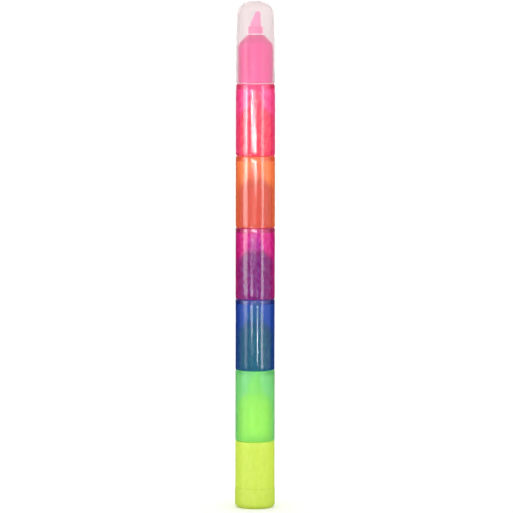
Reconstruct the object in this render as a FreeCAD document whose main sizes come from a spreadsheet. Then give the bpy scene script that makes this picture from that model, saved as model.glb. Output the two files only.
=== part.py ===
"""A six-colour stackable highlighter: six short marker modules plugged nose to tail, a cap and a tail cap.

Every module is one moulding, a barrel that is a socket below and a narrower nose above, which holds a fibre
reservoir, a plug that closes the ink chamber, a nib holder and a slanted nib. The nose of each module
sits in the socket of the module above it, the top nose sits in the cap, and the tail cap closes the
lowest barrel. The axis is Z, the origin is at the centre of the tail cap's flat base. Millimetres.
"""
import FreeCAD, Part
import math
import os
import re

import Sketcher

COLOURS = ["yellow", "green", "blue", "purple", "orange", "pink"]

SIZES = {
    # the stack
    "pitch": 21.8,              # from one module's step to the next
    "seam": 0.1,                # gap left at each joint
    "tail_height": 6.0,         # visible part of the tail cap
    "tail_module_step": 20.5,   # height of the lowest module's step
    # barrel and nose, one moulding
    "barrel_radius": 6.0,
    "socket_radius": 5.5,
    "edge_round": 0.25,
    "mouth_lead": 0.15,
    "socket_end": 1.5,          # where the socket starts to narrow, below the step
    "bore_start": 0.3,          # where it has narrowed to the ink chamber, below the step
    "nose_radius": 5.4,
    "nose_height": 10.55,       # straight part, up to the shoulder
    "shoulder_round": 3.2,
    "neck_radius": 2.45,
    "bead_height": 1.2,         # middle of the snap bead, above the step
    "bead_half": 0.4,
    "bead_round": 1.6,
    "groove_round": 1.2,
    "chamber_radius": 4.75,
    "neck_bore_radius": 2.0,
    # ribs that hold the reservoir off the chamber wall
    "rib_count": 6,
    "rib_width": 0.5,
    "rib_inner_radius": 4.34,
    "rib_start": 2.4,
    "rib_length": 8.6,
    # plug under the ink chamber
    "plug_radius": 4.7,
    "plug_start": 0.7,
    "plug_floor": 0.5,
    "plug_height": 1.3,
    "plug_rim": 0.8,
    # fibre reservoir
    "reservoir_radius": 4.3,
    "reservoir_length": 10.6,
    "reservoir_chamfer": 0.8,
    # nib holder
    "holder_radius": 2.25,
    "holder_height": 2.58,
    "holder_flange_radius": 2.38,
    "holder_flange_height": 0.4,
    "holder_shank_radius": 1.95,
    "holder_shank_length": 1.9,
    "holder_bore_radius": 1.64,
    "holder_round": 0.25,
    # nib
    "nib_radius": 1.6,
    "nib_tail_depth": 2.4,      # how far the nib's tail goes into the reservoir
    "nib_tail_chamfer": 0.4,
    "nib_top": 21.9,
    "nib_tip_length": 3.6,
    "nib_tip_radius": 1.35,
    "nib_tip_round": 0.35,
    "nib_slant": 24.5,          # angle of the long bevel to the axis, in degrees
    "nib_edge_start": 0.1,      # where the bevel meets the top, across the axis
    "nib_flat_angle": 14.0,     # angle of the front and back flats to the axis, in degrees
    "nib_edge_half": 0.6,       # half the thickness of the writing edge
    # cap
    "cap_length": 25.6,         # from the top module's step to the crown
    "cap_mouth_radius": 5.97,
    "cap_middle_radius": 5.92,
    "cap_middle_height": 11.0,
    "cap_top_radius": 5.62,
    "cap_side_round": 3.9,
    "cap_crown_round": 6.5,
    "cap_wall": 0.46,
    "cap_crown_wall": 0.7,
    # tail cap
    "tail_radius": 6.1,
    "tail_round": 1.3,
    "tail_floor": 1.2,
    "tail_skirt_radius": 5.42,
    "tail_skirt_length": 3.0,
    "tail_skirt_wall": 0.8,
    "spigot_radius": 3.85,
    "spigot_wall": 0.8,
    "spigot_top": 15.3,
}

doc = FreeCAD.newDocument("stackable_highlighter")
sheet = doc.addObject("Spreadsheet::Sheet", "Sizes")
for row, (alias, value) in enumerate(SIZES.items(), start=1):
    sheet.set(f"A{row}", alias)
    sheet.set(f"B{row}", str(value))
    sheet.setAlias(f"B{row}", alias)
doc.recompute()

SIZE_NAME = re.compile(r"(?!sqrt)[a-z_]{4,}")
NEAR_ZERO = 1e-9
LEAST_CHANGE = 1e-3             # cubic millimetres that a cut or a rib has to change


def bound(text):
    """The expression with every size in it read from the spreadsheet."""
    return SIZE_NAME.sub(lambda word: f"Sizes.{word[0]}", text)


def number(text):
    """What an expression of sizes comes to now."""
    value = sheet.evalExpression(bound(text))
    return float(getattr(value, "Value", value))


# ---------------------------------------------------------------- sketches
def plane(body, role):
    """One of a body's own origin planes or axes."""
    return next(feature for feature in body.Origin.OriginFeatures if feature.Role == role)


def new_body(name, height):
    """A body whose own zero lies at a height on the pen's axis."""
    body = doc.addObject("PartDesign::Body", name)
    body.Label = name
    body.setExpression("Placement.Base.z", bound(height))
    return body


def new_sketch(body, name, role):
    sketch = body.newObject("Sketcher::SketchObject", name)
    sketch.AttachmentSupport = [(plane(body, role), "")]
    sketch.MapMode = "FlatFace"
    return sketch


def arc_between(start, end, radius):
    """The short arc from start to end. A positive radius turns left on the way, a negative one right."""
    chord = end.sub(start)
    middle = start.add(end).multiply(0.5)
    reach = math.sqrt(max(radius * radius - (chord.Length / 2) ** 2, 0.0))
    left = FreeCAD.Vector(-chord.y, chord.x, 0).normalize()
    centre = middle.add(left.multiply(reach if radius > 0 else -reach))
    first, last = (start, end) if radius > 0 else (end, start)
    angles = [math.atan2(point.y - centre.y, point.x - centre.x) for point in (first, last)]
    circle = Part.Circle(centre, FreeCAD.Vector(0, 0, 1), abs(radius))
    return Part.ArcOfCircle(circle, angles[0], angles[1])


def pin(sketch, kind, axis, geometry, end, text, name):
    """Ties one coordinate of a point to an expression of the sizes."""
    value = number(text)
    if abs(value) < NEAR_ZERO:
        sketch.addConstraint(Sketcher.Constraint("PointOnObject", geometry, end, axis))
        return
    index = sketch.addConstraint(Sketcher.Constraint(kind, -1, 1, geometry, end, value))
    sketch.renameConstraint(index, name)
    sketch.setExpression(f"Constraints.{name}", bound(text))


def outline(sketch, points):
    """A closed outline. Each point is (across, up), with a third entry for the radius of an arc that
    leads to the next point: minus where the arc turns right. Every number is an expression of sizes."""
    places = [FreeCAD.Vector(number(point[0]), number(point[1]), 0) for point in points]
    ends = []
    for index, point in enumerate(points):
        start, end = places[index], places[(index + 1) % len(points)]
        if len(point) == 2:
            geometry = sketch.addGeometry(Part.LineSegment(start, end), False)
            ends.append((geometry, 1, 2))
            continue
        radius = number(point[2])
        geometry = sketch.addGeometry(arc_between(start, end, radius), False)
        ends.append((geometry, 1, 2) if radius > 0 else (geometry, 2, 1))
        constraint = sketch.addConstraint(Sketcher.Constraint("Radius", geometry, abs(radius)))
        sketch.renameConstraint(constraint, f"radius_{index}")
        sketch.setExpression(f"Constraints.radius_{index}", bound(point[2].lstrip("-")))
    for index, point in enumerate(points):
        geometry, begin, _ = ends[index]
        last_geometry, _, last_end = ends[index - 1]
        sketch.addConstraint(Sketcher.Constraint("Coincident", last_geometry, last_end, geometry, begin))
        pin(sketch, "DistanceX", -2, geometry, begin, point[0], f"across_{index}")
        pin(sketch, "DistanceY", -1, geometry, begin, point[1], f"up_{index}")


def turned(body, name, points):
    """A solid turned about the axis from half of its section."""
    sketch = new_sketch(body, f"{name}_section", "XZ_Plane")
    outline(sketch, points)
    feature = body.newObject("PartDesign::Revolution", f"{name}_turned")
    feature.Profile = sketch
    feature.ReferenceAxis = (sketch, ["V_Axis"])
    feature.Angle = 360.0
    doc.recompute()
    return feature


def cut_through(body, name, role, points):
    """A pocket through the whole body, both ways from one of its origin planes."""
    before = body.Shape.Volume
    sketch = new_sketch(body, f"{name}_sketch", role)
    outline(sketch, points)
    pocket = body.newObject("PartDesign::Pocket", name)
    pocket.Profile = sketch
    pocket.Type = "ThroughAll"
    pocket.Midplane = True
    doc.recompute()
    if body.Shape.Volume > before - LEAST_CHANGE:
        raise RuntimeError(f"{name} in {body.Label} removes nothing")


# ---------------------------------------------------------------- one module
COS_45 = "cos(45 deg)"
SHOULDER_ACROSS = f"nose_radius - shoulder_round * (1 - {COS_45})"
SHOULDER_UP = f"nose_height + shoulder_round * {COS_45}"
NECK_TOP = f"{SHOULDER_UP} + {SHOULDER_ACROSS} - neck_radius"
INNER_ROUND = "(shoulder_round - nose_radius + chamber_radius)"
INNER_ACROSS = f"chamber_radius - {INNER_ROUND} * (1 - {COS_45})"
INNER_UP = f"nose_height + {INNER_ROUND} * {COS_45}"
SLEEVE_END = f"{NECK_TOP} - holder_shank_length"
RESERVOIR_TOP = "plug_start + plug_height + reservoir_length"
RESERVOIR_HOLE = f"{RESERVOIR_TOP} - nib_tail_depth"


def make_body(colour, height, length):
    """Barrel with a socket, step, snap bead, nose, shoulder and neck, bored through for the ink chamber.
    The neck goes on inside as a short sleeve round the nib holder's shank."""
    body = new_body(f"{colour}_body", height)
    mouth = f"-({length})"
    groove = f"{mouth} + bead_height - seam"
    turned(body, colour, [
        ("socket_radius + mouth_lead", mouth),
        ("barrel_radius - edge_round", mouth, "edge_round"),
        ("barrel_radius", f"{mouth} + edge_round"),
        ("barrel_radius", "-edge_round", "edge_round"),
        ("barrel_radius - edge_round", "0"),
        ("nose_radius", "0"),
        ("nose_radius", "bead_height - bead_half", "bead_round"),
        ("nose_radius", "bead_height + bead_half"),
        ("nose_radius", "nose_height", "shoulder_round"),
        (SHOULDER_ACROSS, SHOULDER_UP),
        ("neck_radius", NECK_TOP),
        ("neck_bore_radius", NECK_TOP),
        ("neck_bore_radius", SLEEVE_END),
        ("neck_radius", SLEEVE_END),
        ("neck_radius", f"{INNER_UP} + {INNER_ACROSS} - neck_radius"),
        (INNER_ACROSS, INNER_UP, f"-{INNER_ROUND}"),
        ("chamber_radius", "nose_height"),
        ("chamber_radius", "-bore_start"),
        ("socket_radius", "-socket_end"),
        ("socket_radius", f"{groove} + bead_half", "-groove_round"),
        ("socket_radius", f"{groove} - bead_half"),
        ("socket_radius", f"{mouth} + 2 * mouth_lead"),
    ])
    add_ribs(body, colour)
    return body


def add_ribs(body, colour):
    """Thin ribs along the ink chamber, grown into its wall, which centre the reservoir."""
    before = body.Shape.Volume
    sketch = new_sketch(body, f"{colour}_rib_sketch", "XY_Plane")
    sketch.setExpression("AttachmentOffset.Base.z", bound("rib_start"))
    outline(sketch, [
        ("rib_inner_radius", "-rib_width / 2"),
        ("chamber_radius + rib_width / 4", "-rib_width / 2"),
        ("chamber_radius + rib_width / 4", "rib_width / 2"),
        ("rib_inner_radius", "rib_width / 2"),
    ])
    rib = body.newObject("PartDesign::Pad", f"{colour}_rib")
    rib.Profile = sketch
    rib.setExpression("Length", bound("rib_length"))
    doc.recompute()
    ring = body.newObject("PartDesign::PolarPattern", f"{colour}_ribs")
    ring.Originals = [rib]
    ring.Axis = (sketch, ["N_Axis"])
    ring.Angle = 360.0
    ring.setExpression("Occurrences", bound("rib_count"))
    body.Tip = ring
    doc.recompute()
    if body.Shape.Volume < before + LEAST_CHANGE:
        raise RuntimeError(f"the ribs of {body.Label} add nothing")


def make_plug(colour, height):
    """Shallow cup that closes the ink chamber and carries the reservoir on its rim."""
    body = new_body(f"{colour}_plug", height)
    turned(body, f"{colour}_plug", [
        ("0", "plug_start"),
        ("plug_radius - edge_round", "plug_start", "edge_round"),
        ("plug_radius", "plug_start + edge_round"),
        ("plug_radius", "plug_start + plug_height"),
        ("plug_radius - plug_rim", "plug_start + plug_height"),
        ("plug_radius - plug_rim", "plug_start + plug_floor"),
        ("0", "plug_start + plug_floor"),
    ])
    return body


def make_reservoir(colour, height):
    """Fibre cylinder with a chamfered top and a blind hole for the nib's tail."""
    body = new_body(f"{colour}_reservoir", height)
    turned(body, f"{colour}_reservoir", [
        ("0", "plug_start + plug_height"),
        ("reservoir_radius", "plug_start + plug_height"),
        ("reservoir_radius", f"{RESERVOIR_TOP} - reservoir_chamfer"),
        ("reservoir_radius - reservoir_chamfer", RESERVOIR_TOP),
        ("holder_bore_radius", RESERVOIR_TOP),
        ("holder_bore_radius", RESERVOIR_HOLE),
        ("0", RESERVOIR_HOLE),
    ])
    return body


def make_nib_holder(colour, height):
    """Collar on the neck, with a foot flange and a shank in the neck's bore."""
    body = new_body(f"{colour}_nib_holder", height)
    top = f"{NECK_TOP} + holder_height"
    flange_top = f"{NECK_TOP} + holder_flange_height"
    turned(body, f"{colour}_nib_holder", [
        ("holder_bore_radius", SLEEVE_END),
        ("holder_shank_radius", SLEEVE_END),
        ("holder_shank_radius", NECK_TOP),
        ("holder_flange_radius", NECK_TOP),
        ("holder_flange_radius", flange_top),
        ("holder_radius", f"{flange_top} + holder_flange_radius - holder_radius"),
        ("holder_radius", f"{top} - holder_round", "holder_round"),
        ("holder_radius - holder_round", top),
        ("holder_bore_radius", top),
    ])
    return body


def make_nib(colour, height):
    """Fibre nib: a round shank, a slightly tapered end, one long slanted bevel and two flats."""
    body = new_body(f"{colour}_nib", height)
    turned(body, f"{colour}_nib", [
        ("0", RESERVOIR_HOLE),
        ("nib_radius - nib_tail_chamfer", RESERVOIR_HOLE),
        ("nib_radius", f"{RESERVOIR_HOLE} + nib_tail_chamfer"),
        ("nib_radius", "nib_top - nib_tip_length"),
        ("nib_tip_radius", "nib_top - nib_tip_round", "nib_tip_round"),
        ("nib_tip_radius - nib_tip_round", "nib_top"),
        ("0", "nib_top"),
    ])
    overshoot = "nib_radius"
    rise = f"(2 * {overshoot}) / tan(nib_slant * 1 deg)"
    cut_through(body, f"{colour}_nib_bevel", "XZ_Plane", [
        (f"nib_edge_start - 2 * {overshoot}", f"nib_top - {rise}"),
        ("nib_edge_start", "nib_top"),
        (f"nib_edge_start + {overshoot} * tan(nib_slant * 1 deg)", f"nib_top + {overshoot}"),
        (f"nib_edge_start - 2 * {overshoot}", f"nib_top + {overshoot}"),
    ])
    drop = f"{overshoot} / tan(nib_flat_angle * 1 deg)"
    for side, sign in (("front", "-"), ("back", "")):
        cut_through(body, f"{colour}_nib_{side}_flat", "YZ_Plane", [
            (f"{sign}(nib_edge_half + {overshoot})", f"nib_top - {drop}"),
            (f"{sign}nib_edge_half", "nib_top"),
            (f"{sign}(nib_edge_half - {overshoot} * tan(nib_flat_angle * 1 deg) / 2)",
             f"nib_top + {overshoot} / 2"),
            (f"{sign}(nib_edge_half + {overshoot})", f"nib_top + {overshoot} / 2"),
        ])
    return body


def make_module(index, colour):
    """The five pieces of one module, all on the module's own step plane."""
    height = f"tail_module_step + {index} * pitch"
    length = "tail_module_step - tail_height - seam" if index == 0 else "pitch - seam"
    return [
        make_body(colour, height, length),
        make_plug(colour, height),
        make_reservoir(colour, height),
        make_nib_holder(colour, height),
        make_nib(colour, height),
    ]


# ---------------------------------------------------------------- cap and tail cap
def dome(radius, top, side, crown):
    """The points of a dome, from its rim to the axis: a tight arc at the side, then a flatter crown."""
    drop = f"sqrt(({crown} - ({side}))^2 - ({radius} - ({side}))^2)"
    crown_centre = f"{top} - ({crown})"
    share = f"({crown}) / ({crown} - ({side}))"
    return [
        (radius, f"{crown_centre} + {drop}", side),
        (f"({radius} - ({side})) * {share}", f"{crown_centre} + {drop} * {share}", crown),
        ("0", top),
    ]


def make_cap():
    """Thin domed cap, slightly tapered, that slides over the top module's nose down to its step."""
    body = new_body("cap", f"tail_module_step + {len(COLOURS) - 1} * pitch")
    outer = dome("cap_top_radius", "cap_length", "cap_side_round", "cap_crown_round")
    inner = dome("(cap_top_radius - cap_wall)", "(cap_length - cap_crown_wall)",
                 "(cap_side_round - cap_wall)", "(cap_crown_round - cap_crown_wall)")
    inner_down = [
        (inner[2][0], inner[2][1], f"-{inner[1][2]}"),
        (inner[1][0], inner[1][1], f"-{inner[0][2]}"),
        (inner[0][0], inner[0][1]),
    ]
    turned(body, "cap", [
        ("socket_radius + mouth_lead", "seam"),
        ("cap_mouth_radius - edge_round", "seam", "edge_round"),
        ("cap_mouth_radius", "seam + edge_round"),
        ("cap_middle_radius", "cap_middle_height"),
        *outer,
        *inner_down,
        ("cap_middle_radius - cap_wall", "cap_middle_height"),
        ("socket_radius", "bead_height + bead_half", "-groove_round"),
        ("socket_radius", "bead_height - bead_half"),
        ("socket_radius", "seam + 2 * mouth_lead"),
    ])
    return body


def make_tail_cap():
    """Rounded cup under the lowest barrel, with a pressed-in skirt and a tubular spigot up its middle."""
    body = new_body("tail_cap", "0")
    skirt_top = "tail_height + tail_skirt_length"
    bead = "tail_height + bead_height"
    turned(body, "tail_cap", [
        ("0", "0"),
        ("tail_radius - tail_round", "0", "tail_round"),
        ("tail_radius", "tail_round"),
        ("tail_radius", "tail_height - edge_round", "edge_round"),
        ("tail_radius - edge_round", "tail_height"),
        ("tail_skirt_radius", "tail_height"),
        ("tail_skirt_radius", f"{bead} - bead_half", "bead_round"),
        ("tail_skirt_radius", f"{bead} + bead_half"),
        ("tail_skirt_radius", f"{skirt_top} - mouth_lead"),
        ("tail_skirt_radius - mouth_lead", skirt_top),
        ("tail_skirt_radius - tail_skirt_wall", skirt_top),
        ("tail_skirt_radius - tail_skirt_wall", "tail_floor"),
        ("spigot_radius", "tail_floor"),
        ("spigot_radius", "spigot_top"),
        ("spigot_radius - spigot_wall", "spigot_top"),
        ("spigot_radius - spigot_wall", "tail_floor"),
        ("0", "tail_floor"),
    ])
    return body


# ---------------------------------------------------------------- the stack
pieces = [make_tail_cap()]
for index, colour in enumerate(COLOURS):
    pieces += make_module(index, colour)
pieces.append(make_cap())
doc.recompute()

failed = [item.Name for item in doc.Objects if {"Invalid", "Error"} & set(item.State)]
if failed:
    raise RuntimeError(f"failed objects: {failed}")
for piece in pieces:
    if piece.Shape.isNull() or not piece.Shape.isValid() or len(piece.Shape.Solids) != 1:
        raise RuntimeError(f"{piece.Label} is not one valid solid")

os.makedirs("parts", exist_ok=True)
for piece in pieces:
    piece.Shape.exportStep(f"parts/{piece.Label}.step")
    print(f"{piece.Label:20s} {piece.Shape.Volume:9.2f} mm3  z {piece.Shape.BoundBox.ZMin:7.2f} "
          f"to {piece.Shape.BoundBox.ZMax:7.2f}")
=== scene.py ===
"""Looks of the six-colour stackable highlighter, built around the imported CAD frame.

Every CAD node is replaced by a finely turned mesh of the same size with softened edges: translucent
tinted barrels, fibre nibs and reservoirs, satin inserts, a frosted cap and a hazy tail cap. All pieces
are closed solids, so light is bent and tinted by real walls.
"""

import math

import bmesh
import bpy
from mathutils import Euler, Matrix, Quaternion, Vector


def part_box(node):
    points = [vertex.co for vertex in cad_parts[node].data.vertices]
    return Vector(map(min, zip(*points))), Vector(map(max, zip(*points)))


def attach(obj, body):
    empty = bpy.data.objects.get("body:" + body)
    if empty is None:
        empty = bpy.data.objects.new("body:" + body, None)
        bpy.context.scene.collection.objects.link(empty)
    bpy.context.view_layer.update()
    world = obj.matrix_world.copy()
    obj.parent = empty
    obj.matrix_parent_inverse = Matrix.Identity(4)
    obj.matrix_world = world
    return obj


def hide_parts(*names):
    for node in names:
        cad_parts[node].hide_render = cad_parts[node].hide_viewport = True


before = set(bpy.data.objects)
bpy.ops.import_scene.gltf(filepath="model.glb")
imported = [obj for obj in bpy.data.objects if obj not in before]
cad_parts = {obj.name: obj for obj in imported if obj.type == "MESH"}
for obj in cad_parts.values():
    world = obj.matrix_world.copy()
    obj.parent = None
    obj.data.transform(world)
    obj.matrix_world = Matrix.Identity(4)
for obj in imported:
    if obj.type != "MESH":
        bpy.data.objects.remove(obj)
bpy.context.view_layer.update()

MM = 0.001
COLOURS = ["yellow", "green", "blue", "purple", "orange", "pink"]
BODY_OF = {"yellow": "base_module"} | {colour: f"{colour}_module" for colour in COLOURS[1:]}


# ---------------------------------------------------------------- sizes, from the frame
def low(node):
    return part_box(node)[0].z


def high(node):
    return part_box(node)[1].z


def radius_of(node):
    box_low, box_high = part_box(node)
    return (box_high.x - box_low.x) / 2


SEAM = 0.1 * MM             # gap left where two pieces meet
# Each barrel's open foot
MOUTH = {colour: low(f"{colour}_body") for colour in COLOURS}
# Each barrel's top, where its nose starts
STEP = {colour: MOUTH[above] - SEAM for colour, above in zip(COLOURS, COLOURS[1:])}
STEP["pink"] = low("cap") - SEAM

BARREL_RADIUS = radius_of("green_body")
NOSE_RADIUS = 0.9 * BARREL_RADIUS
WALL = 0.5 * MM
SOCKET_RADIUS = BARREL_RADIUS - WALL
SOCKET_END = 1.5 * MM       # where the socket starts to narrow, below the step
BORE_START = 0.3 * MM       # where it has narrowed to the ink chamber, below the step
LEAD = 0.15 * MM            # how much wider a socket is at its mouth
LEAD_HEIGHT = 0.3 * MM
NECK_TOP = high("green_body") - STEP["green"]
NECK_RADIUS = radius_of("green_nib_holder") + 0.07 * MM
NECK_BORE = 2.0 * MM
SLEEVE_LENGTH = 1.9 * MM    # how far the neck's narrow bore goes down
SHOULDER_ROUND = 3.2 * MM
CHAMBER_RADIUS = radius_of("green_plug") + 0.05 * MM
NOSE_WALL = NOSE_RADIUS - CHAMBER_RADIUS
NIB_GAP = 0.04 * MM         # round a nib, in its holder and in its reservoir
FLANGE = 0.4 * MM           # how thick the nib holder's flange is
LIP = 0.3 * MM              # how high the cap's rim is, less clear and painted pale as a highlight

BEAD_HEIGHT = 1.2 * MM      # the snap bead's middle, above the step
BEAD_HALF = 0.4 * MM        # half its height
BEAD_RISE = 0.05 * MM       # how far it stands out

RIB_COUNT = 6               # ribs that hold the reservoir off the chamber's wall
RIB_TOP = 0.112 * MM        # half the width of a rib's top
RIB_FOOT = 0.448 * MM       # and of its foot
RIB_INNER = radius_of("green_reservoir") + 0.04 * MM
RIB_START = 2.4 * MM
RIB_END = 11.0 * MM

# Roundings, from the sharpest moulded edge to the softest
CRISP = 0.05 * MM
FINE = 0.08 * MM
SLIGHT = 0.1 * MM
USUAL = 0.12 * MM
EASED = 0.2 * MM
EDGE_ROUND = 0.25 * MM
BROAD = 0.3 * MM
FLOWING = 0.4 * MM
BEAD_TOP_ROUND = 0.6 * MM

SEGMENTS = 144              # round the axis
LONGEST_STEP = 1.5 * MM     # along an outline
ARC_STEP = 11.0             # degrees between the points of a rounding
SHARP_ANGLE = math.radians(34)
STRAIGHT = math.radians(3)  # a turn too small to round
SIDE_SHARE = 0.48           # how much of a side one rounding may take
ON_AXIS = 1e-7              # metres
NEAR = 0.01 * MM


# ---------------------------------------------------------------- outlines and turned meshes
def softened(points, radius, closed):
    """The outline with its corners rounded. A point's third entry is its own corner radius."""
    count = len(points)
    result = []
    for index, point in enumerate(points):
        here = Vector(point[:2])
        if not closed and index in (0, count - 1):
            result.append(here)
            continue
        before = Vector(points[index - 1][:2]) - here
        after = Vector(points[(index + 1) % count][:2]) - here
        size = point[2] if len(point) > 2 else radius
        opening = before.angle(after)
        turn = math.pi - opening
        if size == 0 or turn < STRAIGHT:
            result.append(here)
            continue
        reach = min(size * math.tan(turn / 2), SIDE_SHARE * before.length, SIDE_SHARE * after.length)
        arc_radius = reach / math.tan(turn / 2)
        towards = (before.normalized() + after.normalized()).normalized()
        centre = here + towards * (arc_radius / math.sin(opening / 2))
        start = here + before.normalized() * reach - centre
        steps = max(2, round(math.degrees(turn) / ARC_STEP))
        side = 1 if start.x * (-towards.y) - start.y * (-towards.x) > 0 else -1
        for step in range(steps + 1):
            angle = side * turn * step / steps
            turned_start = Vector((start.x * math.cos(angle) - start.y * math.sin(angle),
                                   start.x * math.sin(angle) + start.y * math.cos(angle)))
            result.append(centre + turned_start)
    return result


def divided(points, closed):
    """The outline with its long runs cut into shorter ones."""
    result = []
    pairs = zip(points, points[1:] + points[:1]) if closed else zip(points, points[1:])
    for start, end in pairs:
        parts = max(1, math.ceil((end - start).length / LONGEST_STEP))
        result += [start.lerp(end, part / parts) for part in range(parts)]
    return result if closed else result + [points[-1]]


def turned(name, points, height, radius=USUAL, bore=None, segments=SEGMENTS):
    """A mesh turned about Z from an outline of (radius, height) points. An outline that starts and ends on
    the axis is open; any other is a closed loop. bore(radius, height, angle) may change a point's radius."""
    closed = points[0][0] > ON_AXIS
    outline = divided(softened(points, radius, closed), closed)
    mesh = bmesh.new()
    rings = []
    for point in outline:
        if point.x < ON_AXIS:
            rings.append([mesh.verts.new((0, 0, point.y + height))])
            continue
        ring = []
        for index in range(segments):
            angle = 2 * math.pi * index / segments
            across = bore(point.x, point.y, angle) if bore else point.x
            place = (across * math.cos(angle), across * math.sin(angle), point.y + height)
            ring.append(mesh.verts.new(place))
        rings.append(ring)
    pairs = list(zip(rings, rings[1:] + rings[:1])) if closed else list(zip(rings, rings[1:]))
    for lower, upper in pairs:
        for index in range(segments):
            following = (index + 1) % segments
            corners = [lower[index % len(lower)], lower[following % len(lower)],
                       upper[following % len(upper)], upper[index % len(upper)]]
            mesh.faces.new(list(dict.fromkeys(corners)))
    return finished(name, mesh)


def finished(name, mesh):
    """A smooth-shaded object from a bmesh, with its normals pointing outwards."""
    bmesh.ops.recalc_face_normals(mesh, faces=mesh.faces)
    data = bpy.data.meshes.new(name)
    mesh.to_mesh(data)
    mesh.free()
    data.shade_smooth()
    data.set_sharp_from_angle(angle=SHARP_ANGLE)
    mark_inside(data)
    piece = bpy.data.objects.new(name, data)
    bpy.context.scene.collection.objects.link(piece)
    return piece


def mark_inside(data):
    """Gives each point a number, "inside": 1 where the surface faces the axis, and 0 where it faces out."""
    inside = data.attributes.new("inside", "FLOAT", "POINT")
    for vertex, mark in zip(data.vertices, inside.data):
        facing = vertex.normal.x * vertex.co.x + vertex.normal.y * vertex.co.y
        mark.value = 1.0 if facing < 0 else 0.0


def mark_where(piece, name, test):
    """Gives each point a number: 1 where the test of its position holds, and 0 elsewhere."""
    marks = piece.data.attributes.new(name, "FLOAT", "POINT")
    for vertex, mark in zip(piece.data.vertices, marks.data):
        mark.value = 1.0 if test(vertex.co) else 0.0


def install(piece, node, body, material):
    """Puts a piece in place of a CAD node, on its body, with its finish."""
    piece.data.materials.append(material)
    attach(piece, body)
    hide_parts(node)


# ---------------------------------------------------------------- materials
MIX_SOCKET = {"RGBA": "RGBA", "FLOAT": "VALUE"}
NOISE_LOW = 0.3             # the range that noise is mostly in
NOISE_HIGH = 0.7
PAINTED_RIM_HIGHLIGHT = (1.0, 0.93, 0.94)    # a rim's painted highlight
NOSE_CLEAR = 0.6            # how clear the nose is beside its barrel
ROUGH_SPREAD = 0.1          # how much a skin's roughness varies, as a share of it
WAVE_DEPTH = 0.07 * MM      # the moulding's long waves
FLOW_DEPTH = 0.005 * MM     # its fine flow lines
GRAIN_DEPTH = 0.006 * MM
FIBRE_DEPTH = 0.008 * MM
FROST_DEPTH = 0.0004 * MM


def new_material(name):
    material = bpy.data.materials.new(name)
    material.use_nodes = True
    nodes = material.node_tree.nodes
    nodes.clear()
    output = nodes.new("ShaderNodeOutputMaterial")
    shader = nodes.new("ShaderNodeBsdfPrincipled")
    material.node_tree.links.new(shader.outputs["BSDF"], output.inputs["Surface"])
    return material, shader, output


def add(material, kind, **inputs):
    """A new node with some of its inputs set."""
    node = material.node_tree.nodes.new(kind)
    for name, value in inputs.items():
        node.inputs[name.replace("_", " ")].default_value = value
    return node


def link(material, source, target):
    material.node_tree.links.new(source, target)


def noise(material, scale, stretch=(1, 1, 1), detail=2.0, roughness=0.5):
    """Noise fixed to the piece, scale in features per metre, longer along an axis whose stretch is small."""
    place = add(material, "ShaderNodeTexCoord")
    mapping = add(material, "ShaderNodeMapping", Scale=stretch)
    texture = add(material, "ShaderNodeTexNoise", Scale=scale, Detail=detail, Roughness=roughness)
    link(material, place.outputs["Object"], mapping.inputs["Vector"])
    link(material, mapping.outputs["Vector"], texture.inputs["Vector"])
    return texture.outputs["Fac"]


def ranged(material, source, low_value, high_value):
    """Noise spread from its usual range to another."""
    node = add(material, "ShaderNodeMapRange", From_Min=NOISE_LOW, From_Max=NOISE_HIGH, To_Min=low_value,
               To_Max=high_value)
    link(material, source, node.inputs["Value"])
    return node.outputs["Result"]


def mixed(material, factor, first, second, kind="RGBA"):
    """A colour or number between two, by a factor. Each of the two is a value or another node's output."""
    node = material.node_tree.nodes.new("ShaderNodeMix")
    node.data_type = kind
    link(material, factor, node.inputs["Factor"])
    fitting = [socket for socket in node.inputs if socket.type == MIX_SOCKET[kind]]
    ends = [socket for socket in fitting if socket.name in ("A", "B")]
    for socket, value in zip(ends, (first, second)):
        if isinstance(value, bpy.types.NodeSocket):
            link(material, value, socket)
        else:
            socket.default_value = (*value, 1) if kind == "RGBA" else value
    return next(socket for socket in node.outputs if socket.type == MIX_SOCKET[kind])


def bumped(material, shader, source, depth, strength=1.0, under=None):
    """Bumps of a depth in metres on the shader's normal, on top of any other bump."""
    node = add(material, "ShaderNodeBump", Strength=strength, Distance=depth)
    link(material, source, node.inputs["Height"])
    if under is not None:
        link(material, under, node.inputs["Normal"])
    link(material, node.outputs["Normal"], shader.inputs["Normal"])
    return node.outputs["Normal"]


def power(colour, exponent):
    return tuple(channel ** exponent for channel in colour)


def add_absorption(material, output, wall_tint):
    """Tints light by the length of its way through the plastic. wall_tint is what one wall lets through."""
    depths = [-math.log(channel) / WALL for channel in wall_tint]
    density = max(depths)
    absorption = add(material, "ShaderNodeVolumeAbsorption", Density=density,
                     Color=(*(1 - depth / density for depth in depths), 1))
    link(material, absorption.outputs["Volume"], output.inputs["Volume"])


def marked(material, name):
    """A number stored on the piece's points."""
    node = material.node_tree.nodes.new("ShaderNodeAttribute")
    node.attribute_name = name
    return node.outputs["Fac"]


def roughened(material, haze, roughness):
    """A roughness that varies a little with the noise."""
    return ranged(material, haze, roughness * (1 - ROUGH_SPREAD), roughness * (1 + ROUGH_SPREAD))


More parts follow.
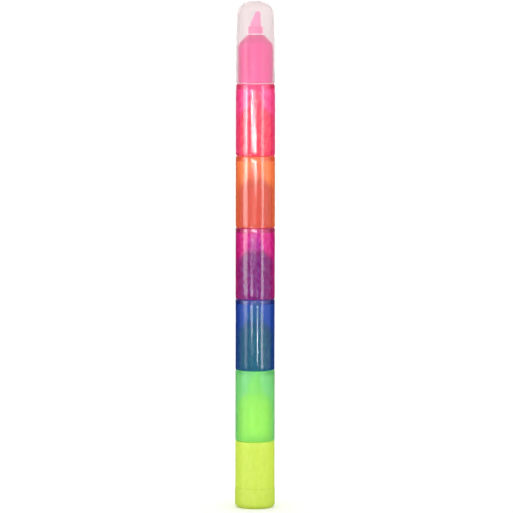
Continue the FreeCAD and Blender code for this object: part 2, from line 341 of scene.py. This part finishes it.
def tinted_plastic(name, look):
    """Translucent fluorescent plastic that emits some painted light, polished outside and satin inside. Its
    nose is milkier.
    """
    material, shader, output = new_material(name)
    nose = marked(material, "nose")
    inside = marked(material, "inside")
    share = look["share"]
    cloud = noise(material, scale=900, stretch=(1, 1, 0.6), detail=4.0)
    thin = power(look["wall"], share * (1 - look["mottle"]))
    thick = power(look["wall"], share * (1 + 1.3 * look["mottle"]))
    barrel = mixed(material, ranged(material, cloud, 0, 1), thin, thick)
    link(material, mixed(material, nose, barrel, look["nose"]), shader.inputs["Base Color"])
    clear = mixed(material, nose, look["clear"], look["clear"] * NOSE_CLEAR, "FLOAT")
    link(material, clear, shader.inputs["Transmission Weight"])
    shader.inputs["IOR"].default_value = 1.45
    smears = noise(material, scale=500, stretch=(1, 1, 0.25), detail=1.0)
    outside = roughened(material, smears, look["polish"])
    link(material, mixed(material, inside, outside, look["satin"], "FLOAT"), shader.inputs["Roughness"])
    # Painted light: the plastic emits light of its own, in place of its dye's fluorescence.
    shader.inputs["Emission Color"].default_value = (*look["painted_glow"], 1)
    shader.inputs["Emission Strength"].default_value = 1.0
    if look["waves"]:
        waves = noise(material, scale=260, stretch=(1, 1, 0.12), detail=1.0)
        normal = bumped(material, shader, waves, look["waves"] * WAVE_DEPTH)
        flow = noise(material, scale=1400, stretch=(1, 1, 0.1), detail=2.0)
        bumped(material, shader, flow, look["waves"] * FLOW_DEPTH, under=normal)
    add_absorption(material, output, power(look["wall"], 1 - share))
    return material


def satin_insert(name, colour, painted_glow):
    """Opaque moulded insert that emits painted light in its own colour. Its rim is painted paler, a painted
    highlight.
    """
    material, shader, _ = new_material(name)
    cloud = noise(material, scale=700, detail=3.0)
    tone = mixed(material, ranged(material, cloud, 0, 1), power(colour, 1.15), power(colour, 0.9))
    # The rim is painted paler: a painted highlight.
    link(material, mixed(material, marked(material, "rim"), tone, PAINTED_RIM_HIGHLIGHT), shader.inputs["Base Color"])
    shader.inputs["Subsurface Weight"].default_value = 0.25
    shader.inputs["Subsurface Scale"].default_value = 0.6 * MM
    # Painted light: the insert emits light in its own colour.
    shader.inputs["Emission Color"].default_value = (*colour, 1)
    shader.inputs["Emission Strength"].default_value = painted_glow
    grain = noise(material, scale=6000)
    link(material, ranged(material, grain, 0.28, 0.42), shader.inputs["Roughness"])
    bumped(material, shader, grain, GRAIN_DEPTH, strength=0.4)
    return material


def inked_fibre(name, colour, painted_glow):
    """Pressed fibre soaked in fluorescent ink: fine fibres along the axis, and a little emitted painted light
    in place of the ink's fluorescence.
    """
    material, shader, _ = new_material(name)
    fibres = noise(material, scale=9000, stretch=(1, 1, 0.05), detail=4.0, roughness=0.65)
    soak = noise(material, scale=500, stretch=(1, 1, 0.7))
    tone = mixed(material, ranged(material, fibres, 0, 1), power(colour, 1.2), power(colour, 0.85))
    link(material, tone, shader.inputs["Base Color"])
    shader.inputs["Subsurface Weight"].default_value = 0.2
    shader.inputs["Subsurface Scale"].default_value = 0.4 * MM
    link(material, ranged(material, soak, 0.55, 0.85), shader.inputs["Roughness"])
    shader.inputs["Sheen Weight"].default_value = 0.2
    # Painted light: the fibre emits light in its own colour.
    shader.inputs["Emission Color"].default_value = (*colour, 1)
    shader.inputs["Emission Strength"].default_value = painted_glow
    bumped(material, shader, fibres, FIBRE_DEPTH, strength=0.7)
    return material


def frosted_plastic(name, colour, clear, roughness):
    """Milky moulding with a fine etched skin. Its thick rim is less clear and painted paler, a painted
    highlight.
    """
    material, shader, output = new_material(name)
    cloud = noise(material, scale=300, stretch=(1, 1, 0.5))
    rim = marked(material, "rim")
    tone = mixed(material, ranged(material, cloud, 0, 1), power(colour, 1.1), power(colour, 0.9))
    # The rim is painted paler, a painted highlight, and it is also less clear.
    link(material, mixed(material, rim, tone, PAINTED_RIM_HIGHLIGHT), shader.inputs["Base Color"])
    link(material, mixed(material, rim, clear, 0.75 * clear, "FLOAT"), shader.inputs["Transmission Weight"])
    shader.inputs["IOR"].default_value = 1.2
    haze = noise(material, scale=500, stretch=(1, 1, 0.25), detail=1.0)
    link(material, roughened(material, haze, roughness), shader.inputs["Roughness"])
    frost = noise(material, scale=4000, detail=3.0)
    bumped(material, shader, frost, FROST_DEPTH, strength=0.4)
    add_absorption(material, output, power(colour, 0.2))
    return material


# For each colour: what one wall lets through (wall), the part of that tint that is at its surfaces (share)
# and how uneven it is (mottle), the nose's own colour, how clear the plastic is, how rough it is outside
# (polish) and inside (satin), how wavy its skin is, the painted light that the plastic emits in place of its
# dye's fluorescence, the ink in the reservoir and the painted light it emits, the nib holder (insert), the
# plug and the nib.
LOOKS = {
    "yellow": dict(wall=(0.60, 0.79, 0.08), share=0.9, mottle=0.1, nose=(0.93, 1.00, 0.06), clear=0.45,
                   polish=0.45, satin=0.5, waves=0, painted_glow=(0.10, 0.09, 0.0), ink=(1.00, 0.84, 0.05),
                   ink_painted_glow=2.4, insert=(0.80, 0.95, 0.15), plug=(0.85, 0.97, 0.20), nib=(0.90, 1.00, 0.30)),
    "green": dict(wall=(0.40, 0.81, 0.43), share=0.8, mottle=0.1, nose=(0.06, 0.78, 0.52), clear=0.92,
                  polish=0.35, satin=0.3, waves=0, painted_glow=(0.015, 0.03, 0.008), ink=(0.10, 0.90, 0.40),
                  ink_painted_glow=0.8, insert=(0.30, 0.90, 0.45), plug=(0.40, 0.95, 0.60), nib=(0.45, 1.00, 0.60)),
    "blue": dict(wall=(0.115, 0.30, 0.60), share=0.35, mottle=0.3, nose=(0.20, 0.12, 0.60), clear=0.98,
                 polish=0.10, satin=0.4, waves=1.0, painted_glow=(0.0, 0.0, 0.04), ink=(0.35, 0.25, 0.95),
                 ink_painted_glow=0.8, insert=(0.40, 0.32, 0.92), plug=(0.45, 0.40, 0.95), nib=(0.75, 0.70, 1.00)),
    "purple": dict(wall=(0.77, 0.07, 0.47), share=0.35, mottle=0.9, nose=(0.78, 0.08, 0.40), clear=0.98,
                   polish=0.10, satin=0.4, waves=1.0, painted_glow=(0.06, 0.0, 0.03), ink=(0.90, 0.15, 0.55),
                   ink_painted_glow=0.8, insert=(0.85, 0.35, 0.70), plug=(0.95, 0.40, 0.85), nib=(0.92, 0.55, 0.85)),
    "orange": dict(wall=(0.89, 0.48, 0.25), share=0.5, mottle=0.2, nose=(0.98, 0.42, 0.27), clear=0.95,
                   polish=0.08, satin=0.4, waves=1.0, painted_glow=(0.08, 0.015, 0.0), ink=(1.00, 0.60, 0.40),
                   ink_painted_glow=0.8, insert=(1.00, 0.55, 0.25), plug=(1.00, 0.80, 0.50), nib=(1.00, 0.65, 0.40)),
    "pink": dict(wall=(0.91, 0.27, 0.55), share=0.4, mottle=0.9, nose=(1.00, 0.12, 0.66), clear=0.96,
                 polish=0.10, satin=0.4, waves=1.0, painted_glow=(0.07, 0.0, 0.02), ink=(1.00, 0.28, 0.80),
                 ink_painted_glow=0.8, insert=(0.97, 0.28, 0.56), plug=(1.00, 0.62, 0.95), nib=(1.00, 0.38, 0.68)),
}
# Painted light emitted in place of fluorescence, by the nibs, the nib holders and the chamber plugs.
NIB_PAINTED_GLOW = 0.10
HOLDER_PAINTED_GLOW = 0.15
PLUG_PAINTED_GLOW = 0.55
PLASTIC = {}
INSERT = {}
PLUG_PLASTIC = {}
NIB_FIBRE = {}
INK_FIBRE = {}
for colour, look in LOOKS.items():
    PLASTIC[colour] = tinted_plastic(f"{colour}_plastic", look)
    INSERT[colour] = satin_insert(f"{colour}_insert", look["insert"], HOLDER_PAINTED_GLOW)
    PLUG_PLASTIC[colour] = satin_insert(f"{colour}_plug", look["plug"], PLUG_PAINTED_GLOW)
    NIB_FIBRE[colour] = inked_fibre(f"{colour}_nib_fibre", look["nib"], NIB_PAINTED_GLOW)
    INK_FIBRE[colour] = inked_fibre(f"{colour}_ink_fibre", look["ink"], look["ink_painted_glow"])
CAP_PLASTIC = frosted_plastic("cap_plastic", colour=(0.922, 0.872, 0.872), clear=0.92, roughness=0.2)
TAIL_PLASTIC = tinted_plastic("tail_plastic", LOOKS["yellow"])


# ---------------------------------------------------------------- the modules
def ribbed(across, up, angle):
    """The ink chamber's radius, drawn in at each rib."""
    on_wall = abs(across - CHAMBER_RADIUS) < NEAR and RIB_START < up < RIB_END
    if not on_wall:
        return across
    pitch = 2 * math.pi / RIB_COUNT
    offset = abs((angle + pitch / 2) % pitch - pitch / 2) * CHAMBER_RADIUS
    side = min(1.0, max(0.0, (RIB_FOOT - offset) / (RIB_FOOT - RIB_TOP)))
    eased = side * side * (3 - 2 * side)
    return across - (CHAMBER_RADIUS - RIB_INNER) * eased


def bead(radius, height, foot_round):
    """Points of a snap bead, or of the groove it snaps into, from the bottom up."""
    return [
        (radius, height - BEAD_HALF, foot_round),
        (radius + BEAD_RISE, height, BEAD_TOP_ROUND),
        (radius, height + BEAD_HALF, foot_round),
    ]


def make_barrel(colour):
    """Barrel, socket, nose, shoulder and neck in one moulding."""
    mouth = MOUTH[colour] - STEP[colour]
    groove = mouth + BEAD_HEIGHT - SEAM
    on_tail_cap = colour == COLOURS[0]
    cone_sum = NECK_RADIUS + NECK_TOP       # radius plus height, all along the 45 degree shoulder
    inner_sum = cone_sum - NOSE_WALL * math.sqrt(2)
    sleeve_end = NECK_TOP - SLEEVE_LENGTH
    outline = [
        (SOCKET_RADIUS + LEAD, mouth, FINE),
        (BARREL_RADIUS, mouth, FINE if on_tail_cap else EDGE_ROUND),
        (BARREL_RADIUS, 0, EDGE_ROUND),
        (NOSE_RADIUS, 0, FINE),
        *bead(NOSE_RADIUS, BEAD_HEIGHT, FLOWING),
        (NOSE_RADIUS, cone_sum - NOSE_RADIUS, SHOULDER_ROUND),
        (NECK_RADIUS, NECK_TOP, CRISP),
        (NECK_BORE, NECK_TOP, CRISP),
        (NECK_BORE, sleeve_end, CRISP),
        (NECK_RADIUS, sleeve_end, CRISP),
        (NECK_RADIUS, inner_sum - NECK_RADIUS, SLIGHT),
        (CHAMBER_RADIUS, inner_sum - CHAMBER_RADIUS, SHOULDER_ROUND - NOSE_WALL),
        (CHAMBER_RADIUS, RIB_END, 0),
        (CHAMBER_RADIUS, RIB_START, 0),
        (CHAMBER_RADIUS, -BORE_START, FLOWING),
        (SOCKET_RADIUS, -SOCKET_END, FLOWING),
        *reversed(bead(SOCKET_RADIUS, groove, BROAD)),
        (SOCKET_RADIUS, mouth + LEAD_HEIGHT, SLIGHT),
    ]
    piece = turned(f"{colour}_barrel", outline, STEP[colour], bore=ribbed)
    mark_where(piece, "nose", lambda place: place.z > STEP[colour] + NEAR)
    install(piece, f"{colour}_body", BODY_OF[colour], PLASTIC[colour])


def make_chamber_plug(colour):
    """A shallow cup that closes the ink chamber from below."""
    node = f"{colour}_plug"
    radius = radius_of(node)
    bottom = low(node)
    top = high(node) - bottom
    inner = radius - 0.8 * MM
    floor = 0.5 * MM
    outline = [(0, 0), (radius, 0, EASED), (radius, top), (inner, top), (inner, floor), (0, floor)]
    piece = turned(f"{colour}_chamber_plug", outline, bottom)
    install(piece, node, BODY_OF[colour], PLUG_PLASTIC[colour])


def make_ink_reservoir(colour):
    """A fibre cylinder with a bevelled top, and a hole for the nib's tail."""
    node = f"{colour}_reservoir"
    radius = radius_of(node)
    bottom = low(node)
    top = high(node) - bottom
    bevel = 0.8 * MM
    hole = low(f"{colour}_nib") - bottom
    hole_radius = radius_of(f"{colour}_nib") + NIB_GAP
    outline = [
        (0, 0),
        (radius, 0, EDGE_ROUND),
        (radius, top - bevel, EASED),
        (radius - bevel, top),
        (hole_radius, top),
        (hole_radius, hole),
        (0, hole),
    ]
    piece = turned(f"{colour}_ink_reservoir", outline, bottom)
    install(piece, node, BODY_OF[colour], INK_FIBRE[colour])


def make_collar(colour):
    """The nib holder: a shank in the neck, a flange on top of the neck and a sleeve round the nib."""
    node = f"{colour}_nib_holder"
    flange = radius_of(node)
    overhang = 0.13 * MM
    sleeve = flange - overhang
    bottom = low(node)
    top = high(node) - bottom
    foot = high(f"{colour}_body") - bottom
    bore = radius_of(f"{colour}_nib") + NIB_GAP
    shank = NECK_BORE - 0.05 * MM
    outline = [
        (bore, 0),
        (shank, 0),
        (shank, foot),
        (flange, foot),
        (flange, foot + FLANGE),
        (sleeve, foot + FLANGE + overhang),
        (sleeve, top, EDGE_ROUND),
        (bore, top),
    ]
    piece = turned(f"{colour}_nib_collar", outline, bottom, radius=0.06 * MM)
    flange_foot = bottom + foot
    # The flange is marked for its painted highlight.
    mark_where(piece, "rim", lambda place: flange_foot - NEAR < place.z < flange_foot + FLANGE + NEAR)
    install(piece, node, BODY_OF[colour], INSERT[colour])


def cut_away(mesh, point, normal):
    """Takes off what lies on the normal's side of a plane, and closes the cut."""
    geometry = mesh.verts[:] + mesh.edges[:] + mesh.faces[:]
    result = bmesh.ops.bisect_plane(mesh, geom=geometry, plane_co=point, plane_no=normal, clear_outer=True)
    edges = [item for item in result["geom_cut"] if isinstance(item, bmesh.types.BMEdge)]
    bmesh.ops.edgeloop_fill(mesh, edges=edges)


def make_fibre_nib(colour):
    """Round shank, slightly tapered end, one long slanted bevel and two flats, with worn-soft edges."""
    node = f"{colour}_nib"
    radius = radius_of(node)
    bottom = low(node)
    top = high(node) - bottom
    tip_radius = radius * 0.84
    tip_length = 3.6 * MM
    tail_bevel = 0.4 * MM
    outline = [
        (0, 0),
        (radius - tail_bevel, 0),
        (radius, tail_bevel),
        (radius, top - tip_length),
        (tip_radius, top, BROAD),
        (0, top),
    ]
    piece = turned(f"{colour}_fibre_nib", outline, bottom, segments=72)
    mesh = bmesh.new()
    mesh.from_mesh(piece.data)
    slant = math.radians(24.5)
    flat = math.radians(14.0)
    edge_half = 0.6 * MM
    edge_shift = 0.1 * MM
    cut_away(mesh, (edge_shift, 0, bottom + top), (-math.cos(slant), 0, math.sin(slant)))
    for side in (-1, 1):
        cut_away(mesh, (0, side * edge_half, bottom + top), (0, side * math.cos(flat), math.sin(flat)))
    crease_angle = math.radians(14)
    creases = []
    for edge in mesh.edges:
        in_tip = min(vertex.co.z for vertex in edge.verts) > bottom + tip_length
        if len(edge.link_faces) == 2 and edge.calc_face_angle(0) > crease_angle and in_tip:
            creases.append(edge)
    bmesh.ops.bevel(mesh, geom=creases, offset=SLIGHT, segments=3, profile=0.5, affect="EDGES",
                    clamp_overlap=True)
    bpy.data.meshes.remove(piece.data)
    piece = finished(f"{colour}_fibre_nib", mesh)
    install(piece, node, BODY_OF[colour], NIB_FIBRE[colour])


for colour in COLOURS:
    make_barrel(colour)
    make_chamber_plug(colour)
    make_ink_reservoir(colour)
    make_collar(colour)
    make_fibre_nib(colour)


# ---------------------------------------------------------------- cap and tail cap
def elliptical(radius, rise, foot, start, end, steps=44):
    """Points of a quarter ellipse about the axis, from one angle to another, in degrees."""
    angles = [math.radians(start + (end - start) * step / steps) for step in range(steps + 1)]
    return [(max(0.0, radius * math.cos(angle)), foot + rise * math.sin(angle)) for angle in angles]


def make_cap_shell():
    """A thin domed shell, very slightly tapered, with a lip and a socket like a barrel's."""
    bottom = low("cap")
    top = high("cap") - bottom
    mouth = radius_of("cap")
    above_lip = mouth - 0.005 * MM
    middle = 11.0 * MM - SEAM
    middle_radius = mouth - 0.05 * MM
    shoulder = mouth - 0.36 * MM
    dome = 4.55 * MM
    wall = 0.46 * MM
    crown_wall = 0.7 * MM
    groove = BEAD_HEIGHT - SEAM
    outer = elliptical(shoulder, dome, top - dome, 0, 90)
    inner = elliptical(shoulder - wall, dome - crown_wall, top - dome, 90, 0)
    outline = [
        *reversed(outer),
        (middle_radius, middle, 0),
        (above_lip, LIP + EASED, 0),
        (above_lip, LIP, 0),
        (mouth, 0, EASED),
        (SOCKET_RADIUS + LEAD, 0, FINE),
        (SOCKET_RADIUS, LEAD_HEIGHT, SLIGHT),
        *bead(SOCKET_RADIUS, groove, BROAD),
        (middle_radius - wall, middle, 0),
        *reversed(inner),
    ]
    piece = turned("cap_shell", outline, bottom)
    # The cap's lip is marked for its painted highlight.
    mark_where(piece, "rim", lambda place: place.z < bottom + LIP + NEAR)
    install(piece, "cap", "top_cap", CAP_PLASTIC)


def make_tail_cup():
    """A rounded cup whose skirt fills the lowest socket, with a tubular spigot inside."""
    radius = radius_of("tail_cap")
    spigot_top = high("tail_cap")
    step = MOUTH["yellow"] - SEAM
    rim = step + 0.09 * MM
    skirt = NOSE_RADIUS + 0.02 * MM
    skirt_top = step + 3.0 * MM
    skirt_inner = skirt - 0.8 * MM
    floor = 1.2 * MM
    foot_round = 1.3 * MM
    spigot = 3.85 * MM
    spigot_inner = spigot - 0.8 * MM
    outline = [
        (0, 0),
        (radius, 0, foot_round),
        (radius, rim, CRISP),
        (skirt, rim, CRISP),
        *bead(skirt, step + BEAD_HEIGHT, FLOWING),
        (skirt, skirt_top, EASED),
        (skirt_inner, skirt_top),
        (skirt_inner, floor, BROAD),
        (spigot, floor, BROAD),
        (spigot, spigot_top),
        (spigot_inner, spigot_top),
        (spigot_inner, floor, BROAD),
        (0, floor),
    ]
    piece = turned("tail_cup", outline, 0)
    install(piece, "tail_cap", "base_module", TAIL_PLASTIC)


make_cap_shell()
make_tail_cup()


# ---------------------------------------------------------------- floor, light and camera
TOP = high("cap")
FLOOR_SIZE = 24.0           # metres


def make_floor():
    """A large pale floor. Gloss on the pen mirrors the lights and not the floor, as in a light tent."""
    bpy.ops.mesh.primitive_plane_add(size=FLOOR_SIZE)
    floor = bpy.context.object
    floor.name = "floor"
    material, shader, _ = new_material("floor_paper")
    grain = noise(material, scale=60)
    tone = mixed(material, grain, (0.90, 0.90, 0.90), (0.93, 0.93, 0.93))
    link(material, tone, shader.inputs["Base Color"])
    shader.inputs["Roughness"].default_value = 0.9
    shader.inputs["Specular IOR Level"].default_value = 0.1
    floor.data.materials.append(material)
    floor.visible_glossy = False


ROOM_LIGHT = 1.15
# What gloss sees of the surroundings. Each line has two ends, (direction, brightness), and is straight
# between them.
BEHIND_TO_FRONT = ((0.1, 0.02), (-0.5, 0.35))       # by the direction's Y
LOW_TO_HIGH = ((-0.105, 1.0), (-0.07, 6.0))         # by its Z, and it multiplies the line above
LEVEL_TO_CEILING = ((-0.03, 0.0), (0.05, 0.6))      # by its Z, and it is added


def make_world():
    """White surroundings. In gloss they are dark behind the pen and dim in front, so that its edges and its
    middle stay deep in colour, and brighter in front of its upper part and overhead."""
    world = bpy.data.worlds.new("surroundings")
    world.use_nodes = True
    nodes = world.node_tree.nodes
    links = world.node_tree.links

    def worked(operation, first, second):
        node = nodes.new("ShaderNodeMath")
        node.operation = operation
        node.use_clamp = operation == "SUBTRACT"
        links.new(first, node.inputs[0])
        links.new(second, node.inputs[1])
        return node.outputs["Value"]

    def spread(source, ends):
        (from_low, to_low), (from_high, to_high) = ends
        node = nodes.new("ShaderNodeMapRange")
        values = {"From Min": from_low, "From Max": from_high, "To Min": to_low, "To Max": to_high}
        for name, value in values.items():
            node.inputs[name].default_value = value
        links.new(source, node.inputs["Value"])
        return node.outputs["Result"]

    direction = nodes.new("ShaderNodeTexCoord")
    split = nodes.new("ShaderNodeSeparateXYZ")
    links.new(direction.outputs["Generated"], split.inputs["Vector"])
    front = spread(split.outputs["Y"], BEHIND_TO_FRONT)
    upper = spread(split.outputs["Z"], LOW_TO_HIGH)
    ceiling = spread(split.outputs["Z"], LEVEL_TO_CEILING)
    in_gloss = worked("ADD", worked("MULTIPLY", front, upper), ceiling)
    path = nodes.new("ShaderNodeLightPath")
    reflected = worked("SUBTRACT", path.outputs["Is Glossy Ray"], path.outputs["Is Transmission Ray"])
    strength = nodes.new("ShaderNodeMapRange")
    strength.inputs["To Min"].default_value = ROOM_LIGHT
    links.new(reflected, strength.inputs["Value"])
    links.new(in_gloss, strength.inputs["To Max"])
    links.new(strength.outputs["Result"], nodes["Background"].inputs["Strength"])
    nodes["Background"].inputs["Color"].default_value = (1, 1, 1, 1)
    bpy.context.scene.world = world


FACING = math.radians(90)
STRIP_DISTANCE = 0.5        # metres from the pen's axis
KEY_DISTANCE = 0.49         # the small lamps stand in front of the strips
FOOT = -0.045               # gloss on the pen's foot sees below the floor, and so the long lamps reach there
CEILING = 0.6
ABOVE_PINK = 0.096          # the height from which a lamp shows in the cap alone


def make_lamp(name, azimuth, width, bottom, top, strength, distance=STRIP_DISTANCE, tilt=0):
    """A flat lamp that faces the pen and shows in gloss only. Azimuth 0 is the camera's side, and positive is
    to the right. Tilt turns it clockwise, as the pen sees it. Both are in degrees."""
    light = bpy.data.lights.new(name, "AREA")
    light.shape = "RECTANGLE"
    light.size = width
    light.size_y = top - bottom
    light.energy = strength * width * (top - bottom) * math.pi
    lamp = bpy.data.objects.new(name, light)
    angle = math.radians(azimuth)
    lamp.location = (distance * math.sin(angle), -distance * math.cos(angle), (top + bottom) / 2)
    facing = Euler((FACING, 0, angle)).to_quaternion()
    lamp.rotation_euler = (facing @ Quaternion((0, 0, 1), math.radians(tilt))).to_euler()
    lamp.visible_camera = False
    lamp.visible_transmission = False
    lamp.visible_diffuse = False
    bpy.context.scene.collection.objects.link(lamp)


def make_key(name, azimuth, width, bottom, top, strength, tilt=0):
    """One of the small lamps."""
    make_lamp(name, azimuth, width, bottom, top, strength, KEY_DISTANCE, tilt)


make_floor()
make_world()
# Tall strips and dim panels at both sides: the long streaks down the barrels, and their lit edges.
make_lamp("left_strip", -60, 0.24, 0.0, CEILING, strength=6.5)
make_lamp("left_strip_foot", -56, 0.15, FOOT, -0.001, strength=3.0)
make_lamp("left_panel", -87, 0.24, FOOT, CEILING, strength=0.5)
make_lamp("right_strip", 42, 0.12, FOOT, CEILING, strength=7.5)
make_lamp("right_panel", 75, 0.45, FOOT, CEILING, strength=0.7)
# Small bright lamps, from the top down: the slanting streak on pink, the streak at its left, the splash at
# the top of orange, the seam under orange, the streak where purple meets blue, and the one down blue.
make_key("upper_key", -10, 0.28, 0.074, 0.088, strength=45.0, tilt=-4.5)
make_key("left_key", -55, 0.08, 0.060, 0.100, strength=14.0)
make_key("splash", -10, 0.34, 0.0630, 0.0675, strength=18.0, tilt=-2.5)
make_key("seam_key", -12, 0.30, 0.033, 0.036, strength=18.0)
make_key("lower_key", -20, 0.12, -0.006, 0.016, strength=12.0, tilt=-4.0)
make_key("blue_key", 13, 0.04, -0.022, 0.004, strength=40.0)
# Behind the pen: a strip for its back, and two dim lamps that keep the cap's edges pale.
make_lamp("back_strip", 178, 0.14, FOOT, CEILING, strength=5.0)
make_lamp("cap_rim_left", -158, 0.30, ABOVE_PINK, CEILING, strength=1.1)
make_lamp("cap_rim_right", 155, 0.30, ABOVE_PINK, CEILING, strength=1.1)

CAMERA_DISTANCE = 1.2
CAMERA_ELEVATION = math.radians(5.97)
CAMERA_ROLL = math.radians(0.1)
SENSOR = 36.0
FRAME_HEIGHT = 0.15603      # what the frame shows at the pen, in metres
AIM = Vector((0.37 * MM, 0, TOP / 2 - 0.67 * MM))
camera_data = bpy.data.cameras.new("camera")
camera_data.sensor_width = SENSOR
camera_data.lens = SENSOR * CAMERA_DISTANCE / FRAME_HEIGHT
camera_data.clip_end = 100
camera = bpy.data.objects.new("camera", camera_data)
towards_camera = Vector((0, -math.cos(CAMERA_ELEVATION), math.sin(CAMERA_ELEVATION)))
camera.location = AIM + CAMERA_DISTANCE * towards_camera
roll = Quaternion((0, 0, 1), CAMERA_ROLL)
camera.rotation_euler = (towards_camera.to_track_quat("Z", "Y") @ roll).to_euler()
bpy.context.scene.collection.objects.link(camera)
bpy.context.scene.camera = camera

scene = bpy.context.scene
scene.view_settings.view_transform = "Standard"
scene.cycles.max_bounces = 32
scene.cycles.transmission_bounces = 32
scene.cycles.glossy_bounces = 12
scene.cycles.diffuse_bounces = 4
